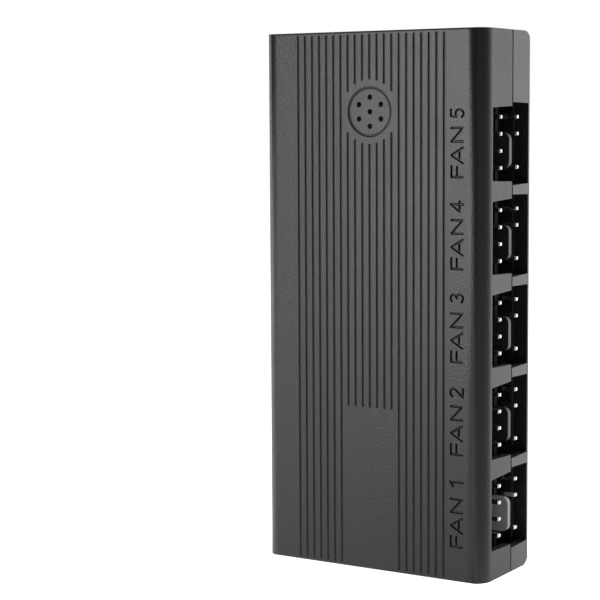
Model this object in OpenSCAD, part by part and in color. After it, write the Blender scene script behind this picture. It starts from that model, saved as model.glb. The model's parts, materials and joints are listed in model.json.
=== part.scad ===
// Lighting hub: an upright plastic case in two shells, with a grooved front, a sound pickup grille and
// a column of fan ports in its right side. It stands on its lower end, with its front towards -Y.

/* [Case] */
// Width across the front
body_w = 38.6; // [34.6:0.2:44]
// Depth from front to back
body_d = 16.1; // [14.5:0.1:18.3]
// Height
body_h = 82.8; // [74.4:0.2:92]
// Depth of the rear shell, behind the parting line
rear_d = 6.3; // [6.2:0.1:6.5]
// Thickness of the side and end walls
wall = 1.4; // [1.2:0.1:1.6]
// Thickness of the front wall
front_t = 1.6; // [1.4:0.1:1.8]
// Thickness of the back wall
back_t = 1.2; // [1:0.1:1.4]
// Radius of the two upright front edges
edge_r = 2.6; // [2:0.1:2.8]
// Radius of the two upright back edges
back_edge_r = 0.5; // [0.3:0.1:0.6]
// Radius of the back corners at the top and bottom ends
end_r = 2.2; // [1.6:0.1:2.4]
// Radius where the front face meets the two ends
lip_r = 0.3; // [0.2:0.05:0.5]
// Width of the sunk line in front of the parting line
seam_w = 0.3; // [0.2:0.05:0.4]
// Depth of that line
seam_t = 0.3; // [0.2:0.05:0.4]

/* [Front grooves] */
// Distance between grooves
groove_pitch = 1.27; // [1.2:0.01:1.32]
// Grooves on each side of the middle one
groove_pairs = 10; // [8:1:10]
// Width of a groove at the surface
groove_w = 0.42; // [0.36:0.02:0.5]
// Depth of a groove
groove_t = 0.2; // [0.14:0.02:0.26]
// Height of the plain panel below the short grooves
panel_h = 25.3; // [20:0.1:30]
// Plain rim left at the ends of the grooves
groove_rim = 0.5; // [0.4:0.1:1]

/* [Sound pickup] */
// Distance of the grille's centre below the top end
mic_drop = 12.2; // [12:0.1:14]
// Radius of the grille disc
grille_r = 3.65; // [3.5:0.05:3.8]
// Radius of the plain ring of case around the grille
clear_r = 4.9; // [4.7:0.05:5]
// Depth of the disc below the front face
disc_sink = 0.12; // [0.08:0.02:0.2]
// Radius of one grille hole
sound_hole_r = 0.4; // [0.35:0.05:0.45]
// Radius of the circle that the outer holes lie on
sound_circle_r = 2.2; // [2:0.05:2.4]
// Outer holes of the grille
sound_holes = 6; // [5:1:8]

/* [Ports] */
// Fan ports in the right side
port_count = 5; // [3:1:5]
// Height of the lowest port's centre
port_z0 = 9.95; // [9.8:0.05:10.1]
// Distance of the highest port's centre below the top end
port_drop = 17.13; // [17:0.01:17.4]
// Depth at which a port's window starts, behind the front face
window_d0 = 2.9; // [2.8:0.05:3.2]
// Share of the port distance that the rib between two windows takes at their front edge
rib_front = 0.22; // [0.2:0.01:0.24]
// Share that the front shell's rib takes at the parting line
rib_front_line = 0.183; // [0.17:0.001:0.2]
// Share that the rear shell's rib takes at the parting line
rib_rear_line = 0.1; // [0.08:0.01:0.12]
// Share that the rear shell's rib takes at the windows' back edge
rib_rear = 0.12; // [0.11:0.001:0.14]
// Rim of rear shell left behind a window
window_rim = 0.85; // [0.7:0.05:1]

/* [Headers] */
// Side of a square header pin
pin_t = 0.64; // [0.6:0.01:0.66]
// Distance of the fan pins in front of the board
fan_pin_rise = 4.1; // [4:0.05:4.2]
// Length of fan pin in front of its header
fan_pin_out = 7.2; // [7:0.1:7.4]
// Length of lighting pin in front of its header
led_pin_out = 7.8; // [7.6:0.1:8]
// Length of the polarising tab along the pins' row
tab_w = 5.3; // [5:0.1:5.6]
// Thickness of the polarising tab
tab_t = 0.9; // [0.8:0.05:1.1]

/* [Circuit board] */
// Distance of the board's front surface behind the parting line
board_step = 0.3; // [0.2:0.05:0.4]
// Thickness of the board
board_t = 1; // [0.8:0.1:1.1]

/* [Power inlet] */
// Height of the power inlet's centre, as a share of the case's height
power_share = 0.375; // [0.35:0.005:0.4]
// Length of the power inlet's housing along the case
power_w = 24.4; // [24:0.1:25]

/* [Hidden] */
$fn = 48;

// Fits and clearances
slack = 0.1;
skin = 0.01;

// Places measured from the front face
case_x = body_w / 2;
front_y = -body_d / 2;
front_d = body_d - rear_d;
board_d = front_d + board_step;
board_y = front_y + board_d;
board_back_y = board_y + board_t;
cavity_x = case_x - wall;
cavity_h = body_h - 2 * wall;
mic_z = body_h - mic_drop;
port_pitch = (body_h - port_z0 - port_drop) / (port_count - 1);
short_grooves = 3;
groove_floor_w = 0.08;
ring_w = 0.42;
ring_t = 0.22;

// Pin rows, counted inwards from the case's side
pin_pitch = 2.54;
pin_count = 4;
pin_tip = 0.46;
pin_point_l = 0.25;
pin_tail = 0.7;
row_rise = 0.25;
fan_pin_d = board_d - fan_pin_rise;
fan_leg_gap = 0.8;
led_leg_gap = 1.8;
led_gap_place = 2;
row_w = pin_count * pin_pitch;
fan_tip_x = case_x - 0.1;
fan_base_t = 3.2;
fan_base_h = 6.4;
fan_base_x = fan_tip_x - fan_pin_out;
fan_leg_x = fan_base_x - fan_base_t - fan_leg_gap;
fan_base_cut = 0.5;
tab_tip_x = case_x - 0.3;
tab_r = 1;
tab_drop = pin_pitch / 2;
led_tip_x = case_x - 0.4;
led_base_t = 2.5;
led_base_x = led_tip_x - led_pin_out;
led_leg_x = led_base_x - led_base_t - led_leg_gap;
led_pin_y = board_back_y + led_base_t / 2;
led_base_cut = 0.4;
pin_hole_r = 0.5;

// The lap between the shells, and the board's edges
lap_t = 0.8;
lap_h = 1;
lap_root = 1.2;
board_side_gap = 1.7;
board_x = cavity_x - board_side_gap;
board_rim = wall + lap_t + 4 * slack;

// Screws and their posts
screw_r = 0.9;
pilot_r = screw_r + slack / 2;
head_r = 1.8;
head_t = 1.2;
head_sink = 1.7;
screw_end_d = 5.4;
pilot_end_d = 4.4;
cross_w = 0.5;
cross_l = 2.2;
cross_t = 0.6;
post_r = 2.1;
rear_post_r = head_r + 0.9;
screw_rise = 5.3;
screw_rim = 1;
screw_x = board_x - rear_post_r - screw_rim;
screw_places = [[0, screw_rise], [-screw_x, body_h - screw_rise], [screw_x, body_h - screw_rise]];

// Microphone capsule
mic_r = 3;
mic_h = 2.7;
mic_cup_r = mic_r + slack / 2;
mic_cup_wall = 0.85;
mic_cup_h = 2.8;
mic_lead_r = 0.25;
mic_lead_x = pin_pitch / 2;
mic_lead_hole_r = 0.35;

// Power inlet on the left side
power_h = 6.4;
power_mouth_x = case_x - 0.4;
power_long = 10.3;
power_back_x = power_mouth_x - power_long;
power_z = body_h * power_share;
power_shell_t = 0.9;
power_deep = 7;
power_tongue_t = 1.3;
power_tongue_w = 20.6;
power_tongue_gap = 1;
power_key_h = 1;
power_key_w = 0.9;
power_mid_y = board_y - power_h / 2;
blade_count = 15;
blade_pitch = 1.27;
blade_w = 0.84;
blade_t = 0.3;
blade_leg_x = power_back_x - 0.8;
blade_hole_r = 0.5;
power_slot = 0.5;

// Parts on the board, left of the ports' legs, and the heights that they stand at
parts_x = -2;
lead_t = 0.2;
lead_foot_l = 0.6;
lead_pitch = 1.27;
chip_t = 1.5;
chip_w = 3.9;
controller_l = 9.9;
controller_leads = 8;
receiver_l = 4.9;
receiver_leads = 4;
antenna_l = 6;
antenna_w = 2;
antenna_t = 1.2;
crystal_l = 4.8;
crystal_w = 3.2;
crystal_t = 1.1;
crystal_rim = 0.2;
can_r = 3.15;
can_h = 5.4;
can_base = 3.3;
can_base_t = 1;
can_cut = 1.4;
regulator_l = 6.5;
regulator_w = 3.5;
regulator_t = 1.6;
regulator_leg_w = 0.7;
regulator_leg_t = 0.3;
regulator_pitch = 2.3;
transistor_l = 2.9;
transistor_w = 1.3;
transistor_t = 1;
transistor_leg_w = 0.4;
transistor_leg_t = 0.15;
transistor_reach = 1.2;
transistor_row = 0.95;
transistor_gap = 0.3;
transistor_x = led_leg_x - pin_t / 2 - transistor_reach - transistor_gap;
transistor_rise = 1.5 * pin_pitch;
capacitors = 4;
capacitor_size = [1.25, 2, 1];
capacitor_pitch = 1.8;
resistors = 5;
resistor_size = [0.8, 1.6, 0.45];
resistor_pitch = 1.2;
capacitor_z = body_h * 0.125;
can_z = body_h * 0.2;
regulator_z = body_h * 0.32;
resistor_z = body_h * 0.415;
crystal_z = body_h * 0.49;
controller_z = body_h * 0.58;
receiver_z = body_h * 0.68;
antenna_z = body_h * 0.76;
window_x = cavity_x - lap_t - 2 * slack;

function port_z(k) = port_z0 + (k - 1) * port_pitch;
function pin_z(place) = row_rise + ((pin_count - 1) / 2 - place) * pin_pitch;
function window_half(share) = port_pitch * (1 - share) / 2;
function chord(x) = abs(x) < clear_r ? sqrt(clear_r * clear_r - x * x) : 0;
sync_z = port_z(port_count);

// Outline a wide and b high, centred, with radius r0 at its two lower corners and r1 at its upper ones
module round_outline(a, b, r0, r1) {
    translate([-a / 2, -b / 2 + r0]) square([a, b - r0 - r1]);
    translate([-a / 2 + r0, -b / 2]) square([a - 2 * r0, r0]);
    translate([-a / 2 + r1, b / 2 - r1]) square([a - 2 * r1, r1]);
    for (side = [-1, 1]) {
        translate([side * (a / 2 - r0), -b / 2 + r0]) circle(r0);
        translate([side * (a / 2 - r1), b / 2 - r1]) circle(r1);
    }
}

// Turns a drawing of Y and Z into a slab that starts at x and runs t towards +X
module side_slab(x, t) {
    translate([x, 0, 0]) rotate([90, 0, 90]) linear_extrude(t) children();
}

// Stands a drawing on the board: local Z points out of the front surface and local Y points up
module on_board(x, z) {
    translate([x, board_y, z]) rotate([90, 0, 0]) children();
}

// Round bar along Y, from depth d0 to depth d1 behind the front face
module depth_bar(r, d0, d1) {
    translate([0, front_y + d0, 0]) rotate([-90, 0, 0]) cylinder(r = r, h = d1 - d0);
}

// Outer form of the closed case
module case_form() {
    intersection() {
        linear_extrude(body_h) round_outline(body_w, body_d, edge_r, back_edge_r);
        side_slab(-case_x, body_w)
            translate([0, body_h / 2]) rotate(-90) round_outline_turned();
    }
}

// Side outline of the case, drawn so that the back faces up before it is turned
module round_outline_turned() {
    mirror([1, 0]) round_outline(body_h, body_d, lip_r, end_r);
}

// Hollow inside the closed case
module cavity_form() {
    translate([0, (front_t - back_t) / 2, wall]) linear_extrude(cavity_h)
        round_outline(2 * cavity_x, body_d - front_t - back_t, edge_r - wall + skin, back_edge_r);
}

// Everything in front of the parting line
module front_zone() {
    translate([-body_w, front_y - body_d, -body_h]) cube([2 * body_w, body_d + front_d, 3 * body_h]);
}

// One window, tapering towards the parting line from both sides
module window_cut(z) {
    back_d = body_d - window_rim;
    half_a = window_half(rib_front);
    half_b = window_half(rib_front_line);
    half_c = window_half(rib_rear_line);
    half_d = window_half(rib_rear);
    side_slab(window_x, 2 * case_x)
        translate([front_y, z])
            polygon([
                [window_d0, -half_a], [front_d, -half_b], [front_d, -half_c], [back_d, -half_d],
                [back_d, half_d], [front_d, half_c], [front_d, half_b], [window_d0, half_a]
            ]);
}

// All port windows and the power inlet's opening
module window_cuts() {
    for (k = [1 : port_count]) window_cut(port_z(k));
    mirror([1, 0, 0]) window_cut(sync_z);
    translate([-case_x - wall, power_mid_y - power_h / 2 - power_slot, power_z - power_w / 2 - power_slot])
        cube([case_x + wall - window_x, power_h + 2 * power_slot, power_w + 2 * power_slot]);
}

// One upright groove at x, from z0 to z1
module groove(x, z0, z1) {
    translate([x, front_y, z0]) linear_extrude(z1 - z0)
        polygon([
            [-groove_w / 2 - skin, -skin], [groove_w / 2 + skin, -skin],
            [groove_floor_w / 2, groove_t], [-groove_floor_w / 2, groove_t]
        ]);
}

// The grooves: full height at the sides, and short in the middle round the grille and above the panel
module grooves() {
    for (k = [-groove_pairs : groove_pairs]) {
        x = k * groove_pitch;
        if (abs(k) > short_grooves) {
            groove(x, groove_rim, body_h - groove_rim);
        } else {
            groove(x, panel_h, mic_z - chord(x));
            groove(x, mic_z + chord(x), body_h - groove_rim);
        }
    }
}

// Grille: a ring line round a sunk disc with its sound holes
module grille_cuts() {
    a = grille_r - ring_w / 2;
    b = grille_r - groove_floor_w / 2;
    c = grille_r + groove_floor_w / 2;
    d = grille_r + ring_w / 2;
    translate([0, 0, mic_z]) {
        translate([0, front_y, 0]) rotate([-90, 0, 0]) rotate_extrude()
            polygon([[0, -skin], [d + skin, -skin], [c, ring_t], [b, ring_t], [a, disc_sink], [0, disc_sink]]);
        depth_bar(sound_hole_r, -skin, front_t + skin);
        for (i = [0 : sound_holes - 1])
            rotate([0, i * 360 / sound_holes, 0])
                translate([0, 0, sound_circle_r]) depth_bar(sound_hole_r, -skin, front_t + skin);
    }
}

// Sunk line round the front shell, in front of the parting line
module seam_cut() {
    translate([0, front_y + front_d + skin, 0]) rotate([90, 0, 0]) linear_extrude(seam_w + skin) difference() {
        translate([-body_w, -body_h]) square([2 * body_w, 3 * body_h]);
        translate([seam_t - case_x, seam_t]) square([2 * (case_x - seam_t), body_h - 2 * seam_t]);
    }
}

module front_shell() {
    color("dimgray") difference() {
        union() {
            difference() {
                intersection() {
                    case_form();
                    front_zone();
                }
                cavity_form();
            }
            for (p = screw_places)
                translate([p[0], 0, p[1]]) depth_bar(post_r, front_t - skin, board_d);
            translate([0, 0, mic_z]) depth_bar(mic_cup_r + mic_cup_wall, front_t - skin, front_t + mic_cup_h);
        }
        for (p = screw_places)
            translate([p[0], 0, p[1]]) depth_bar(pilot_r, pilot_end_d, board_d + skin);
        translate([0, 0, mic_z]) depth_bar(mic_cup_r, front_t, front_t + mic_cup_h + skin);
        window_cuts();
        grooves();
        grille_cuts();
        seam_cut();
    }
}

// Ring of rim w wide inside the cavity wall, g clear of it, from depth d0 to depth d1
module lap_ring(g, d0, d1) {
    translate([0, front_y + d1, 0]) rotate([90, 0, 0]) linear_extrude(d1 - d0) difference() {
        translate([-cavity_x + g, wall + g]) square([2 * cavity_x - g - lap_t, cavity_h - 2 * g]);
        translate([-cavity_x + slack + lap_t, wall + slack + lap_t])
            square([2 * cavity_x, cavity_h - 2 * (slack + lap_t)]);
    }
}

module rear_shell() {
    color("dimgray") difference() {
        union() {
            difference() {
                case_form();
                cavity_form();
                front_zone();
            }
            lap_ring(slack, front_d - lap_h, front_d + skin);
            lap_ring(-skin, front_d, front_d + lap_root);
            for (p = screw_places)
                translate([p[0], 0, p[1]]) depth_bar(rear_post_r, board_d + board_t, body_d - back_t + skin);
        }
        for (p = screw_places) {
            translate([p[0], 0, p[1]]) depth_bar(screw_r + slack, board_d, body_d);
            translate([p[0], 0, p[1]]) depth_bar(head_r + 2 * slack, body_d - head_sink, body_d + skin);
        }
        window_cuts();
    }
}

// Board with a hole for each leg, lead and screw
module circuit_board() {
    color("darkgreen") difference() {
        translate([-board_x, board_y, board_rim]) cube([2 * board_x, board_t, body_h - 2 * board_rim]);
        for (k = [1 : port_count]) port_leg_holes(port_z(k));
        mirror([1, 0, 0]) port_leg_holes(sync_z);
        for (i = [0 : blade_count - 1])
            translate([-blade_leg_x, 0, power_z + blade_place(i)]) board_hole(blade_hole_r);
        for (side = [-1, 1]) translate([side * mic_lead_x, 0, mic_z]) board_hole(mic_lead_hole_r);
        for (p = screw_places) translate([p[0], 0, p[1]]) board_hole(screw_r + 2 * slack);
    }
}

module board_hole(r) {
    depth_bar(r, board_d - skin, board_d + board_t + skin);
}

module port_leg_holes(z) {
    for (place = [0 : pin_count - 1]) {
        translate([fan_leg_x, 0, z + pin_z(place)]) board_hole(pin_hole_r);
        if (place != led_gap_place)
            translate([led_leg_x, 0, z + pin_z(place)]) board_hole(pin_hole_r);
    }
}

// Outline of a square pin with a tapered tip, from its bend to its tip
module pin_profile(reach) {
    polygon([
        [-pin_t / 2, -pin_t / 2], [reach - pin_point_l, -pin_t / 2], [reach, -pin_tip / 2],
        [reach, pin_tip / 2], [reach - pin_point_l, pin_t / 2], [-pin_t / 2, pin_t / 2]
    ]);
}

// Square pin along +X with its leg bent down towards +Y
module bent_pin(reach, drop) {
    intersection() {
        linear_extrude(pin_t, center = true) pin_profile(reach);
        rotate([90, 0, 0]) linear_extrude(pin_t, center = true) pin_profile(reach);
    }
    translate([-pin_t / 2, 0, -pin_t / 2]) cube([pin_t, drop, pin_t]);
}

// The four pins of a fan header, on the right side at height z
module fan_pin_row(z) {
    color("silver") for (place = [0 : pin_count - 1])
        translate([fan_leg_x, front_y + fan_pin_d, z + pin_z(place)])
            bent_pin(fan_tip_x - fan_leg_x, board_d + board_t + pin_tail - fan_pin_d);
}

// The three pins of a lighting header, with the third place left empty
module led_pin_row(z) {
    color("silver") for (place = [0 : pin_count - 1]) if (place != led_gap_place)
        translate([led_leg_x, led_pin_y, z + pin_z(place)])
            mirror([0, 1, 0]) bent_pin(led_tip_x - led_leg_x, led_base_t / 2 + board_t + pin_tail);
}

// Base of a fan header with its polarising tab
module fan_header_body(z) {
    color("black") translate([0, 0, z + row_rise]) difference() {
        union() {
            translate([fan_base_x - fan_base_t, board_y, 0]) mirror([0, 1, 0])
                linear_extrude(row_w, center = true)
                    polygon([
                        [0, 0], [fan_base_t, 0], [fan_base_t, fan_base_h - fan_base_cut],
                        [fan_base_t - fan_base_cut, fan_base_h], [0, fan_base_h]
                    ]);
            translate([fan_base_x - skin, board_y - slack, -tab_drop]) rotate([90, 0, 0])
                linear_extrude(tab_t) tab_outline(tab_tip_x - fan_base_x + skin);
        }
        for (place = [0 : pin_count - 1])
            translate([fan_base_x - fan_base_t / 2, front_y + fan_pin_d, pin_z(place) - row_rise])
                cube([2 * fan_base_t, pin_t, pin_t], center = true);
    }
}

// Tab outline: square at its root, with rounded corners at its tip
module tab_outline(reach) {
    translate([0, -tab_w / 2]) square([reach - tab_r, tab_w]);
    translate([reach - 2 * tab_r, -tab_w / 2 + tab_r]) square([2 * tab_r, tab_w - 2 * tab_r]);
    for (side = [-1, 1]) translate([reach - tab_r, side * (tab_w / 2 - tab_r)]) circle(tab_r);
}

// Base of a lighting header: four joined blocks with chamfered corners
module led_header_body(z) {
    c = led_base_cut;
    h = led_base_t / 2;
    p = pin_pitch / 2;
    color("black") difference() {
        for (place = [0 : pin_count - 1])
            side_slab(led_base_x - led_base_t, led_base_t)
                translate([led_pin_y, z + pin_z(place)])
                    polygon([
                        [-h, c - p], [c - h, -p], [h - c, -p], [h, c - p],
                        [h, p - c], [h - c, p], [c - h, p], [-h, p - c]
                    ]);
        for (place = [0 : pin_count - 1]) if (place != led_gap_place)
            translate([led_base_x - led_base_t / 2, led_pin_y, z + pin_z(place)])
                cube([2 * led_base_t, pin_t, pin_t], center = true);
    }
}

function blade_place(i) = (i - (blade_count - 1) / 2) * blade_pitch;

// Power inlet: a shroud with a keyed tongue, drawn on the left side
module power_inlet() {
    color("black") translate([0, power_mid_y, power_z]) difference() {
        union() {
            difference() {
                translate([-power_mouth_x, -power_h / 2, -power_w / 2])
                    cube([power_mouth_x - power_back_x, power_h, power_w]);
                translate([-power_mouth_x - skin, power_shell_t - power_h / 2, power_shell_t - power_w / 2])
                    cube([power_deep + skin, power_h - 2 * power_shell_t, power_w - 2 * power_shell_t]);
            }
            translate([-power_mouth_x + power_tongue_gap, -power_tongue_t / 2, -power_tongue_w / 2])
                cube([power_deep, power_tongue_t, power_tongue_w]);
            translate([-power_mouth_x + power_tongue_gap, 0, -power_tongue_w / 2])
                cube([power_deep, power_tongue_t / 2 + power_key_h, power_key_w]);
        }
        for (i = [0 : blade_count - 1])
            translate([-power_mouth_x + power_deep - skin, power_tongue_t / 2, blade_place(i) - blade_w / 2])
                cube([power_mouth_x, blade_t, blade_w]);
    }
}

// Contacts that lie on the tongue, run out of the back and turn down into the board
module power_blades() {
    lie = power_mouth_x - 2 * power_tongue_gap;
    color("goldenrod") for (i = [0 : blade_count - 1])
        translate([0, power_mid_y + power_tongue_t / 2, power_z + blade_place(i) - blade_w / 2]) {
            translate([-lie, 0, 0]) cube([lie - blade_leg_x + blade_t / 2, blade_t, blade_w]);
            translate([-blade_leg_x - blade_t / 2, 0, 0])
                cube([blade_t, power_h / 2 - power_tongue_t / 2 + board_t + pin_tail, blade_w]);
        }
}

module microphone() {
    color("silver") translate([0, 0, mic_z]) depth_bar(mic_r, front_t, front_t + mic_h);
}

module microphone_leads() {
    color("silver") for (side = [-1, 1])
        translate([side * mic_lead_x, 0, mic_z])
            depth_bar(mic_lead_r, front_t + mic_h, board_d + board_t + pin_tail);
}

// Chip with a body of length l and n leads along each of its two long sides
module gull_chip(l, n) {
    rise = chip_t / 2;
    edge = chip_w / 2;
    foot = edge + lead_foot_l;
    translate([-l / 2, -edge, lead_t / 2]) cube([l, chip_w, chip_t]);
    for (side = [-1, 1], i = [0 : n - 1])
        translate([(i - (n - 1) / 2) * lead_pitch + lead_t, 0, 0]) scale([1, side, 1])
            rotate([0, -90, 0]) linear_extrude(2 * lead_t)
                polygon([
                    [rise, edge - lead_t], [rise + lead_t, edge - lead_t], [rise + lead_t, foot],
                    [lead_t, foot], [lead_t, foot + lead_foot_l], [0, foot + lead_foot_l],
                    [0, foot - lead_t], [rise, foot - lead_t]
                ]);
}

module microcontroller() {
    color("black") on_board(parts_x, controller_z) gull_chip(controller_l, controller_leads);
}

module radio_receiver() {
    color("black") on_board(parts_x, receiver_z) gull_chip(receiver_l, receiver_leads);
}

module chip_antenna() {
    color("lightgray") on_board(parts_x, antenna_z)
        translate([-antenna_l / 2, -antenna_w / 2, 0]) cube([antenna_l, antenna_w, antenna_t]);
}

// Crystal can: a rounded lid on a slightly wider base
module crystal() {
    base_t = 2 * crystal_rim;
    color("silver") on_board(parts_x, crystal_z) {
        linear_extrude(base_t) round_outline(crystal_l + base_t, crystal_w + base_t, base_t, base_t);
        linear_extrude(crystal_t) round_outline(crystal_l, crystal_w, base_t, base_t);
    }
}

// Capacitor can on a square base with two cut corners
module bulk_capacitor() {
    a = can_base;
    b = can_base - can_cut;
    color("silver") on_board(parts_x, can_z) {
        linear_extrude(can_base_t) polygon([[-a, -a], [b, -a], [a, -b], [a, b], [b, a], [-a, a]]);
        cylinder(r = can_r, h = can_h);
    }
}

// Regulator: a body with a wide tab above and three legs below
module voltage_regulator() {
    wide = regulator_pitch + regulator_leg_w;
    color("black") on_board(parts_x, regulator_z) {
        translate([-regulator_l / 2, -regulator_w / 2, 0]) cube([regulator_l, regulator_w, regulator_t]);
        translate([-wide / 2, 0, 0]) cube([wide, regulator_w, regulator_leg_t]);
        for (i = [-1, 0, 1])
            translate([i * regulator_pitch - regulator_leg_w / 2, -regulator_w, 0])
                cube([regulator_leg_w, regulator_w, regulator_leg_t]);
    }
}

// One transistor for each port, beside its header's legs
module port_transistors() {
    leg = [transistor_reach, transistor_leg_w, transistor_leg_t];
    color("black") for (k = [1 : port_count])
        on_board(transistor_x, port_z(k) + transistor_rise) {
            translate([-transistor_w / 2, -transistor_l / 2, 0])
                cube([transistor_w, transistor_l, transistor_t]);
            translate([0, -transistor_leg_w / 2, 0]) cube(leg);
            for (i = [-1, 1])
                translate([-transistor_reach, i * transistor_row - transistor_leg_w / 2, 0]) cube(leg);
        }
}

// A row of n small blocks across the board
module block_row(z, n, pitch, size) {
    for (i = [0 : n - 1])
        on_board(parts_x + (i - (n - 1) / 2) * pitch, z) translate([-size[0] / 2, -size[1] / 2, 0]) cube(size);
}

module chip_capacitors() {
    color("tan") block_row(capacitor_z, capacitors, capacitor_pitch, capacitor_size);
}

module chip_resistors() {
    color("black") block_row(resistor_z, resistors, resistor_pitch, resistor_size);
}

// Pan head screws from the back, through the board into the front shell's posts
module case_screws() {
    seat_d = body_d - head_sink;
    color("silver") for (p = screw_places)
        translate([p[0], 0, p[1]]) difference() {
            union() {
                depth_bar(screw_r, screw_end_d, seat_d + skin);
                depth_bar(head_r, seat_d, seat_d + head_t);
            }
            translate([0, front_y + seat_d + head_t, 0]) {
                cube([cross_l, 2 * cross_t, cross_w], center = true);
                cube([cross_w, 2 * cross_t, cross_l], center = true);
            }
        }
}

front_shell();
rear_shell();
circuit_board();
for (k = [1 : port_count]) {
    fan_header_body(port_z(k));
    fan_pin_row(port_z(k));
    led_header_body(port_z(k));
    led_pin_row(port_z(k));
}
mirror([1, 0, 0]) fan_header_body(sync_z);  // sync_fan_header
mirror([1, 0, 0]) fan_pin_row(sync_z);  // sync_fan_pins
mirror([1, 0, 0]) led_header_body(sync_z);  // sync_led_header
mirror([1, 0, 0]) led_pin_row(sync_z);  // sync_led_pins
power_inlet();
power_blades();
microphone();
microphone_leads();
microcontroller();
radio_receiver();
chip_antenna();
crystal();
bulk_capacitor();
voltage_regulator();
port_transistors();
chip_capacitors();
chip_resistors();
case_screws();
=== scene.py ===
import bpy
import bmesh
import json
import math
from mathutils import Matrix, Vector


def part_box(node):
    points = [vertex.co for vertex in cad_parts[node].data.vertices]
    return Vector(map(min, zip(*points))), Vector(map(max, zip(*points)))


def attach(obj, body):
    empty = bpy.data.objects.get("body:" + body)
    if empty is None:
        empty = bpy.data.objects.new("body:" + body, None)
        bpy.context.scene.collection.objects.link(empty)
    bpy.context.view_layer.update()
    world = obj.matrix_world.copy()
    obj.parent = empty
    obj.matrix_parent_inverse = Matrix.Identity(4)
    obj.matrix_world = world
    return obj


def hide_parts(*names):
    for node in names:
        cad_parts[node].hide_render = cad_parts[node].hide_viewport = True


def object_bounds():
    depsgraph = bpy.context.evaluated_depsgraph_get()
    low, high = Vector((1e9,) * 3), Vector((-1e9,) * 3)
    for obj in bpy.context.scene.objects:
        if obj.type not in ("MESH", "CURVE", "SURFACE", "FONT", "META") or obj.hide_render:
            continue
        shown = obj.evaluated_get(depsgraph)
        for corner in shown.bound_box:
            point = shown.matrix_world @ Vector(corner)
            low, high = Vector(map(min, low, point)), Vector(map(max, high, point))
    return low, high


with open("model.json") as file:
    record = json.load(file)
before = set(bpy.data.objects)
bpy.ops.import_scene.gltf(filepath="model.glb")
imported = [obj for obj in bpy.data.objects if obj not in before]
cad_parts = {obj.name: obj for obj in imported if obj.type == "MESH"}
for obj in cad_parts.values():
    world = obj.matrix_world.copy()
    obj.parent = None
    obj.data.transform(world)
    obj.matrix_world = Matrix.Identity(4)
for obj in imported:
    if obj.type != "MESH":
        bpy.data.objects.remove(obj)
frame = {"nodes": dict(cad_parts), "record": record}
CAD_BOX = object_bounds()

MM = 0.001

# The photograph's camera, in metres and degrees
CAM_AIM = Vector((-9.3, -13.3, 47.25)) * MM
CAM_AZIMUTH = 32.04
CAM_ELEVATION = 4.70
CAM_ROLL = -0.30
CAM_DISTANCE = 273.2 * MM
CAM_LENS = 107.1
CAM_SENSOR = 36.0
CAM_SHIFT_Y = -0.058

# The room: its brightness for matt and for glossy surfaces, its grey, and where gloss sees it in full
ROOM_FILL = 0.20
ROOM_GLOSS = 0.03
ROOM_GREY = 0.8
ROOM_FULL_FROM = 0.7

# The floor: its grey, its glow, and the line from +Y towards -X along which gloss sees the glow rise. Short
# of that line gloss sees no glow: painted shade on the floor near the hub's front and towards the viewer
FLOOR_GREY = 0.88
FLOOR_GLOW = 0.88
FLOOR_FADE_TURN = 52
FLOOR_FADE_FROM = -0.052
FLOOR_FADE_TO = 0.010
FLOOR_HALF = 30.0

# Softboxes aimed at the hub: azimuth and elevation in degrees, distance, width and height in metres, radiance
SOFTBOXES = {
    "key": (-20.5, 11, 0.26, 0.07, 0.16, 9.6),
    "left_card": (-78, 6, 0.35, 0.14, 0.24, 5.0),
    "backdrop_card": (152, 6, 0.60, 0.40, 0.30, 1.0),
}

# A softbox over the floor behind the hub
FLOOR_LIGHT_PLACE = Vector((0.20, 0.35, 0.50))
FLOOR_LIGHT_AIM = Vector((0.10, 0.20, 0))
FLOOR_LIGHT_WIDE = 0.40
FLOOR_LIGHT_HIGH = 0.30
FLOOR_LIGHT_RADIANCE = 6.5

# The case, as the frame gives it
CASE_LOW, CASE_HIGH = CAD_BOX
FRONT_Y = CASE_LOW.y
SIDE_X = CASE_HIGH.x
PORT_NAMES = [f"fan_header_{k}" for k in range(1, 6)]

# Grain, clouding and edge radius of the moulded case
GRAIN_CELL = 0.30 * MM
GRAIN_DEPTH = 0.040 * MM
CLOUD_CELL = 9 * MM
CASE_EDGE = 0.07 * MM
EDGE_SAMPLES = 6

# Nodes whose look differs a little from the rest of their slot's. For fan_header_1 this is painted light: a
# lighter grey that stands in for the light falling on its tab
OWN_LOOK = {"rear_shell": "rear_plastic", "fan_header_1": "painted_light_header"}

# Port labels: single strokes sunk into the front, read from bottom to top
LABEL_BASE_X = SIDE_X - 3.46 * MM
LABEL_HEIGHT = 1.89 * MM
LABEL_STROKE = 0.37 * MM
LABEL_FLOOR = 0.10 * MM
LABEL_DEPTH = 0.36 * MM
LABEL_PROUD = 0.02 * MM
LABEL_END_STEPS = 6
LETTER_GAP_FA = 0.50 * MM
LETTER_GAP_AN = 0.89 * MM
# Where each label starts below its port's middle, and the gap before its numeral
LABEL_START = {1: 4.87 * MM, 2: 4.78 * MM, 3: 4.75 * MM, 4: 4.74 * MM, 5: 5.04 * MM}
NUMERAL_GAP = {1: 1.93 * MM, 2: 1.47 * MM, 3: 1.76 * MM, 4: 1.30 * MM, 5: 1.59 * MM}


def direction(azimuth, elevation):
    """Unit vector from the object towards a place at this azimuth and elevation, in degrees."""
    turn = math.radians(azimuth)
    rise = math.radians(elevation)
    return Vector((math.sin(turn) * math.cos(rise), -math.cos(turn) * math.cos(rise), math.sin(rise)))


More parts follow.
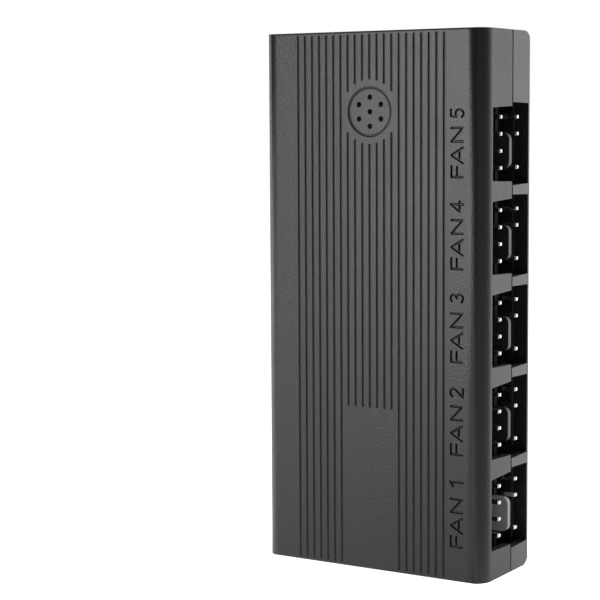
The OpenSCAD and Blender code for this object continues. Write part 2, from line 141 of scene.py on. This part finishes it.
def make_camera():
    back = direction(CAM_AZIMUTH, CAM_ELEVATION)
    right = Vector((back.y, -back.x, 0)).normalized() * -1
    up = back.cross(right)
    turn = math.radians(CAM_ROLL)
    rolled_right = right * math.cos(turn) + up * math.sin(turn)
    rolled_up = up * math.cos(turn) - right * math.sin(turn)
    camera = bpy.data.objects.new("camera", bpy.data.cameras.new("camera"))
    bpy.context.scene.collection.objects.link(camera)
    rotation = Matrix((rolled_right, rolled_up, back)).transposed().to_4x4()
    camera.matrix_world = Matrix.Translation(CAM_AIM + back * CAM_DISTANCE) @ rotation
    camera.data.sensor_width = CAM_SENSOR
    camera.data.lens = CAM_LENS
    camera.data.shift_y = CAM_SHIFT_Y
    camera.data.clip_start = 0.01
    camera.data.clip_end = 60
    bpy.context.scene.camera = camera


def soft_light(name, place, aim, wide, high, radiance):
    """A softbox at a place, turned to an aim. Radiance 1 is the brightness of a white card."""
    data = bpy.data.lights.new(name, "AREA")
    data.shape = "RECTANGLE"
    data.size = wide
    data.size_y = high
    data.energy = radiance * math.pi * wide * high
    lamp = bpy.data.objects.new(name, data)
    bpy.context.scene.collection.objects.link(lamp)
    lamp.location = place
    lamp.rotation_mode = "QUATERNION"
    lamp.rotation_quaternion = (place - aim).to_track_quat("Z", "Y")
    lamp.visible_camera = False


def make_lights():
    middle = (CASE_LOW + CASE_HIGH) / 2
    for name, (azimuth, elevation, distance, wide, high, radiance) in SOFTBOXES.items():
        soft_light(name, middle + direction(azimuth, elevation) * distance, middle, wide, high, radiance)
    soft_light("floor_light", FLOOR_LIGHT_PLACE, FLOOR_LIGHT_AIM,
               FLOOR_LIGHT_WIDE, FLOOR_LIGHT_HIGH, FLOOR_LIGHT_RADIANCE)


def node_tree(owner):
    owner.use_nodes = True
    owner.node_tree.nodes.clear()
    return owner.node_tree.nodes, owner.node_tree.links


def map_range(nodes, links, source, reads, gives, smooth=False):
    """Turns the range that is read from a source into the range that is given."""
    span = nodes.new("ShaderNodeMapRange")
    if smooth:
        span.interpolation_type = "SMOOTHSTEP"
    span.inputs["From Min"].default_value = reads[0]
    span.inputs["From Max"].default_value = reads[1]
    span.inputs["To Min"].default_value = gives[0]
    span.inputs["To Max"].default_value = gives[1]
    links.new(source, span.inputs["Value"])
    return span.outputs["Result"]


def calculate(nodes, links, operation, first, second):
    """Joins two number sockets by an operation, such as their product or the larger of them."""
    result = nodes.new("ShaderNodeMath")
    result.operation = operation
    links.new(first, result.inputs[0])
    links.new(second, result.inputs[1])
    return result.outputs[0]


def mirror_ray(nodes, links, path):
    """1 for a ray that left a glossy or clear surface."""
    glossy = path.outputs["Is Glossy Ray"]
    clear = path.outputs["Is Transmission Ray"]
    return calculate(nodes, links, "MAXIMUM", glossy, clear)


def mix_shaders(nodes, links, share, first, second):
    """The first shader where share is 0, the second where it is 1."""
    mixed = nodes.new("ShaderNodeMixShader")
    links.new(share, mixed.inputs["Fac"])
    links.new(first, mixed.inputs[1])
    links.new(second, mixed.inputs[2])
    return mixed.outputs[0]


def background(nodes, grey, strength):
    """Grey light from all round."""
    node = nodes.new("ShaderNodeBackground")
    node.inputs["Color"].default_value = (grey, grey, grey, 1)
    node.inputs["Strength"].default_value = strength
    return node


def emission(nodes, strength):
    """White light from a surface."""
    node = nodes.new("ShaderNodeEmission")
    node.inputs["Strength"].default_value = strength
    return node.outputs[0]


def make_world():
    """A white backdrop behind the hub and a dark room in front, for gloss. Matt surfaces get dim grey."""
    world = bpy.data.worlds.new("studio")
    bpy.context.scene.world = world
    nodes, links = node_tree(world)
    path = nodes.new("ShaderNodeLightPath")
    place = nodes.new("ShaderNodeTexCoord")
    axes = nodes.new("ShaderNodeSeparateXYZ")
    links.new(place.outputs["Generated"], axes.inputs[0])
    depth = map_range(nodes, links, axes.outputs["Y"], (0.0, ROOM_FULL_FROM), (ROOM_GLOSS, 1.0), smooth=True)
    matt = background(nodes, 1.0, ROOM_FILL)
    gloss = background(nodes, ROOM_GREY, 1.0)
    links.new(depth, gloss.inputs["Strength"])
    white = background(nodes, 1.0, 1.0)
    room = mix_shaders(nodes, links, mirror_ray(nodes, links, path), matt.outputs[0], gloss.outputs[0])
    seen = mix_shaders(nodes, links, path.outputs["Is Camera Ray"], room, white.outputs[0])
    out = nodes.new("ShaderNodeOutputWorld")
    links.new(seen, out.inputs["Surface"])


def make_floor():
    """A wide white sheet that keeps the hub's soft shadow. Gloss sees its glow fade out towards the viewer, a
    painted shade near the hub's front.
    """
    material = bpy.data.materials.new("floor")
    nodes, links = node_tree(material)
    matt = nodes.new("ShaderNodeBsdfDiffuse")
    matt.inputs["Color"].default_value = (FLOOR_GREY, FLOOR_GREY, FLOOR_GREY, 1)
    path = nodes.new("ShaderNodeLightPath")
    place = nodes.new("ShaderNodeTexCoord")
    turn = math.radians(FLOOR_FADE_TURN)
    behind = nodes.new("ShaderNodeVectorMath")
    behind.operation = "DOT_PRODUCT"
    behind.inputs[1].default_value = (-math.sin(turn), math.cos(turn), 0)
    links.new(place.outputs["Object"], behind.inputs[0])
    span = (FLOOR_FADE_FROM, FLOOR_FADE_TO)
    # Painted shade: gloss sees the floor's glow fade out near the hub's front-right and towards the viewer
    fade = map_range(nodes, links, behind.outputs["Value"], span, (0.0, 1.0), smooth=True)
    mirrored = calculate(nodes, links, "MULTIPLY", mirror_ray(nodes, links, path), fade)
    seen = calculate(nodes, links, "MAXIMUM", mirrored, path.outputs["Is Camera Ray"])
    glow = mix_shaders(nodes, links, seen, emission(nodes, 0.0), emission(nodes, FLOOR_GLOW))
    total = nodes.new("ShaderNodeAddShader")
    links.new(matt.outputs[0], total.inputs[0])
    links.new(glow, total.inputs[1])
    out = nodes.new("ShaderNodeOutputMaterial")
    links.new(total.outputs[0], out.inputs["Surface"])
    mesh = bpy.data.meshes.new("floor")
    half = FLOOR_HALF
    corners = [(-half, -half, 0), (half, -half, 0), (half, half, 0), (-half, half, 0)]
    mesh.from_pydata(corners, [], [(0, 1, 2, 3)])
    mesh.materials.append(material)
    floor = bpy.data.objects.new("floor", mesh)
    bpy.context.scene.collection.objects.link(floor)


def principled(name, colour, roughness, metallic=0.0, specular=0.5):
    """A material with its shader, and the texture coordinates of the CAD frame."""
    material = bpy.data.materials.new(name)
    nodes, links = node_tree(material)
    shader = nodes.new("ShaderNodeBsdfPrincipled")
    shader.inputs["Base Color"].default_value = (*colour, 1)
    shader.inputs["Roughness"].default_value = roughness
    shader.inputs["Metallic"].default_value = metallic
    shader.inputs["Specular IOR Level"].default_value = specular
    out = nodes.new("ShaderNodeOutputMaterial")
    links.new(shader.outputs[0], out.inputs["Surface"])
    place = nodes.new("ShaderNodeTexCoord")
    return material, nodes, links, shader, place


def add_noise(nodes, links, place, cell, detail=2.0):
    """Noise whose grains are about cell metres wide."""
    noise = nodes.new("ShaderNodeTexNoise")
    noise.inputs["Scale"].default_value = 1 / cell
    noise.inputs["Detail"].default_value = detail
    links.new(place.outputs["Object"], noise.inputs["Vector"])
    return noise


def vary(nodes, links, noise, socket, low, high):
    """Drives a number socket between low and high with a noise, most of which lies between 0.3 and 0.7."""
    links.new(map_range(nodes, links, noise.outputs["Fac"], (0.3, 0.7), (low, high)), socket)


def vary_colour(nodes, links, noise, socket, dark, light):
    """Drives a colour socket from dark to light with a noise."""
    ramp = nodes.new("ShaderNodeMix")
    ramp.data_type = "RGBA"
    ramp.inputs["A"].default_value = (*dark, 1)
    ramp.inputs["B"].default_value = (*light, 1)
    links.new(noise.outputs["Fac"], ramp.inputs["Factor"])
    links.new(ramp.outputs["Result"], socket)


def add_bump(nodes, links, noise, shader, depth, strength, edge_radius=0.0):
    """Raises the surface by depth metres with a noise, over edges rounded by edge_radius."""
    bump = nodes.new("ShaderNodeBump")
    bump.inputs["Distance"].default_value = depth
    bump.inputs["Strength"].default_value = strength
    links.new(noise.outputs["Fac"], bump.inputs["Height"])
    if edge_radius:
        edge = nodes.new("ShaderNodeBevel")
        edge.samples = EDGE_SAMPLES
        edge.inputs["Radius"].default_value = edge_radius
        links.new(edge.outputs["Normal"], bump.inputs["Normal"])
    links.new(bump.outputs["Normal"], shader.inputs["Normal"])


def case_plastic(name, specular):
    """Black plastic from a spark-eroded mould: fine even grain, satin, a little uneven."""
    dark = (0.010, 0.010, 0.0102)
    light = (0.017, 0.017, 0.0173)
    mean = (0.013, 0.013, 0.0132)
    material, nodes, links, shader, place = principled(name, mean, 0.38, specular=specular)
    grain = add_noise(nodes, links, place, GRAIN_CELL, 1)
    cloud = add_noise(nodes, links, place, CLOUD_CELL, 2)
    vary(nodes, links, cloud, shader.inputs["Roughness"], 0.36, 0.40)
    vary_colour(nodes, links, grain, shader.inputs["Base Color"], dark, light)
    add_bump(nodes, links, grain, shader, GRAIN_DEPTH, 1.0, CASE_EDGE)
    return material


def header_plastic(name, colour):
    """Glossier plastic of the headers."""
    material, nodes, links, shader, place = principled(name, colour, 0.34)
    grain = add_noise(nodes, links, place, 0.3 * MM, 2)
    vary(nodes, links, grain, shader.inputs["Roughness"], 0.30, 0.40)
    add_bump(nodes, links, grain, shader, 0.01 * MM, 0.2, 0.08 * MM)
    return material


def plated_metal(name, colour, roughness, cell, depth):
    """Bright plated metal with faint drawing marks."""
    material, nodes, links, shader, place = principled(name, colour, roughness, metallic=1.0)
    grain = add_noise(nodes, links, place, cell, 2)
    vary(nodes, links, grain, shader.inputs["Roughness"], roughness * 0.8, roughness * 1.25)
    add_bump(nodes, links, grain, shader, depth, 0.3, 0.04 * MM)
    return material


def board_laminate():
    """Black solder mask over faint copper planes."""
    dark = (0.004, 0.005, 0.005)
    light = (0.010, 0.011, 0.011)
    mean = (0.006, 0.007, 0.007)
    material, nodes, links, shader, place = principled("board_laminate", mean, 0.45, specular=0.15)
    planes = add_noise(nodes, links, place, 3 * MM, 1)
    vary_colour(nodes, links, planes, shader.inputs["Base Color"], dark, light)
    weave = add_noise(nodes, links, place, 0.25 * MM, 2)
    add_bump(nodes, links, weave, shader, 0.01 * MM, 0.2)
    return material


def moulded(name, dark, light, roughness):
    """Fired or moulded small parts: matt, with a fine speckle."""
    material, nodes, links, shader, place = principled(name, light, roughness)
    speckle = add_noise(nodes, links, place, 0.12 * MM, 3)
    vary_colour(nodes, links, speckle, shader.inputs["Base Color"], dark, light)
    add_bump(nodes, links, speckle, shader, 0.01 * MM, 0.25, 0.05 * MM)
    return material


def make_materials():
    return {
        "case_plastic": case_plastic("case_plastic", 0.5),
        "rear_plastic": case_plastic("rear_plastic", 0.76),
        "board_laminate": board_laminate(),
        "header_plastic": header_plastic("header_plastic", (0.02, 0.02, 0.02)),
        # Painted light: a lighter grey copy of the header plastic for port 1, standing in for the light on
        # its tab
        "painted_light_header": header_plastic("painted_light_header", (0.34, 0.34, 0.34)),
        "pin_metal": plated_metal("pin_metal", (0.86, 0.85, 0.82), 0.22, 0.1 * MM, 0.004 * MM),
        "blade_metal": plated_metal("blade_metal", (0.90, 0.66, 0.30), 0.25, 0.1 * MM, 0.004 * MM),
        "can_metal": plated_metal("can_metal", (0.78, 0.78, 0.78), 0.30, 0.2 * MM, 0.006 * MM),
        "chip_plastic": moulded("chip_plastic", (0.014, 0.014, 0.015), (0.030, 0.030, 0.032), 0.55),
        "ceramic": moulded("ceramic", (0.40, 0.31, 0.20), (0.56, 0.46, 0.33), 0.5),
        "screw_steel": plated_metal("screw_steel", (0.55, 0.55, 0.56), 0.33, 0.15 * MM, 0.006 * MM),
    }


def dress(materials):
    """Gives each CAD node its slot's material, or its own look of it."""
    slots = {row["node"]: row["material_slot"] for row in frame["record"]["subparts"]}
    for name, node in frame["nodes"].items():
        node.data.materials.clear()
        node.data.materials.append(materials[OWN_LOOK.get(name, slots[name])])


# Letters as strokes: points in units of the cap height, u along the line of text and v up the letter
LETTER_F = (0.84, [[(0.0, 0.0), (0.0, 1.0), (0.84, 1.0)], [(0.0, 0.52), (0.80, 0.52)]])
LETTER_A = (1.20, [[(0.0, 0.0), (0.60, 1.0), (1.20, 0.0)], [(0.18, 0.30), (1.02, 0.30)]])
LETTER_N = (1.06, [[(0.0, 0.0), (0.0, 1.0), (1.06, 0.0), (1.06, 1.0)]])


def arc(cu, cv, ru, rv, start, end, steps=9):
    """Points on an ellipse from start to end degrees, counted anticlockwise from +u."""
    turns = [math.radians(start + (end - start) * i / steps) for i in range(steps + 1)]
    return [(cu + ru * math.cos(t), cv + rv * math.sin(t)) for t in turns]


NUMERALS = {
    1: (0.34, [[(0.0, 0.80), (0.34, 1.05), (0.34, -0.05)]]),
    2: (0.66, [arc(0.33, 0.76, 0.31, 0.29, 160, -35) + [(0.0, -0.05), (0.66, -0.05)]]),
    3: (0.60, [arc(0.28, 0.78, 0.27, 0.27, 150, -85) + arc(0.28, 0.23, 0.32, 0.28, 85, -150)]),
    4: (0.78, [[(0.56, -0.05), (0.56, 1.05), (0.0, 0.28), (0.78, 0.28)]]),
    5: (0.62, [[(0.58, 1.05), (0.10, 1.05), (0.04, 0.56)] + arc(0.28, 0.29, 0.32, 0.36, 130, -150)]),
}


def stroke_ring(mesh, start, end, depth, width):
    """Points round a stroke of this width, at a depth behind the front face."""
    along = (end - start).normalized()
    across = Vector((-along.z, 0, along.x))
    ring = []
    for centre, heading in ((end, along), (start, -along)):
        side = across if heading is along else -across
        for step in range(LABEL_END_STEPS + 1):
            t = math.pi * step / LABEL_END_STEPS
            place = centre + (heading * math.sin(t) - side * math.cos(t)) * width / 2
            ring.append(mesh.verts.new(place + Vector((0, depth, 0))))
    return ring


def stroke_prism(mesh, start, end):
    """A round-ended bar from start to end on the front face, with sloping sides, sunk by the label depth."""
    slope = (LABEL_STROKE - LABEL_FLOOR) / LABEL_DEPTH
    top = stroke_ring(mesh, start, end, -LABEL_PROUD, LABEL_STROKE + slope * LABEL_PROUD)
    low = stroke_ring(mesh, start, end, LABEL_DEPTH, LABEL_FLOOR)
    mesh.faces.new(top)
    mesh.faces.new(low[::-1])
    for i in range(len(top)):
        j = (i + 1) % len(top)
        mesh.faces.new((top[j], top[i], low[i], low[j]))


def label_strokes(mesh, number, middle_z):
    """FAN and a port number, beside the port whose middle is at middle_z."""
    glyphs = [(LETTER_F, 0), (LETTER_A, LETTER_GAP_FA), (LETTER_N, LETTER_GAP_AN),
              (NUMERALS[number], NUMERAL_GAP[number])]
    at = middle_z - LABEL_START[number]
    for (width, strokes), gap in glyphs:
        at += gap
        for line in strokes:
            points = []
            for u, v in line:
                points.append(Vector((LABEL_BASE_X - v * LABEL_HEIGHT, FRONT_Y, at + u * LABEL_HEIGHT)))
            for start, end in zip(points, points[1:]):
                stroke_prism(mesh, start, end)
        at += width * LABEL_HEIGHT


def labelled_shell():
    """A copy of the front shell with the port labels sunk into it."""
    source = frame["nodes"]["front_shell"]
    shell = bpy.data.objects.new("labelled_front", source.data.copy())
    bpy.context.scene.collection.objects.link(shell)
    cutter_mesh = bmesh.new()
    for number, name in enumerate(PORT_NAMES, start=1):
        low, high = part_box(name)
        label_strokes(cutter_mesh, number, (low[2] + high[2]) / 2)
    bmesh.ops.recalc_face_normals(cutter_mesh, faces=cutter_mesh.faces)
    mesh = bpy.data.meshes.new("label_cutter")
    cutter_mesh.to_mesh(mesh)
    cutter_mesh.free()
    cutter = bpy.data.objects.new("label_cutter", mesh)
    bpy.context.scene.collection.objects.link(cutter)
    cut = shell.modifiers.new("labels", "BOOLEAN")
    cut.operation = "DIFFERENCE"
    cut.solver = "EXACT"
    cut.use_self = True
    cut.object = cutter
    bpy.context.view_layer.update()
    result = bpy.data.meshes.new_from_object(shell.evaluated_get(bpy.context.evaluated_depsgraph_get()))
    shell.modifiers.clear()
    shell.data = result
    bpy.data.objects.remove(cutter)
    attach(shell, "root")
    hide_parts("front_shell")


make_camera()
make_lights()
make_world()
make_floor()
MATERIALS = make_materials()
dress(MATERIALS)
labelled_shell()

SCENE = bpy.context.scene
SCENE.view_settings.view_transform = "Standard"
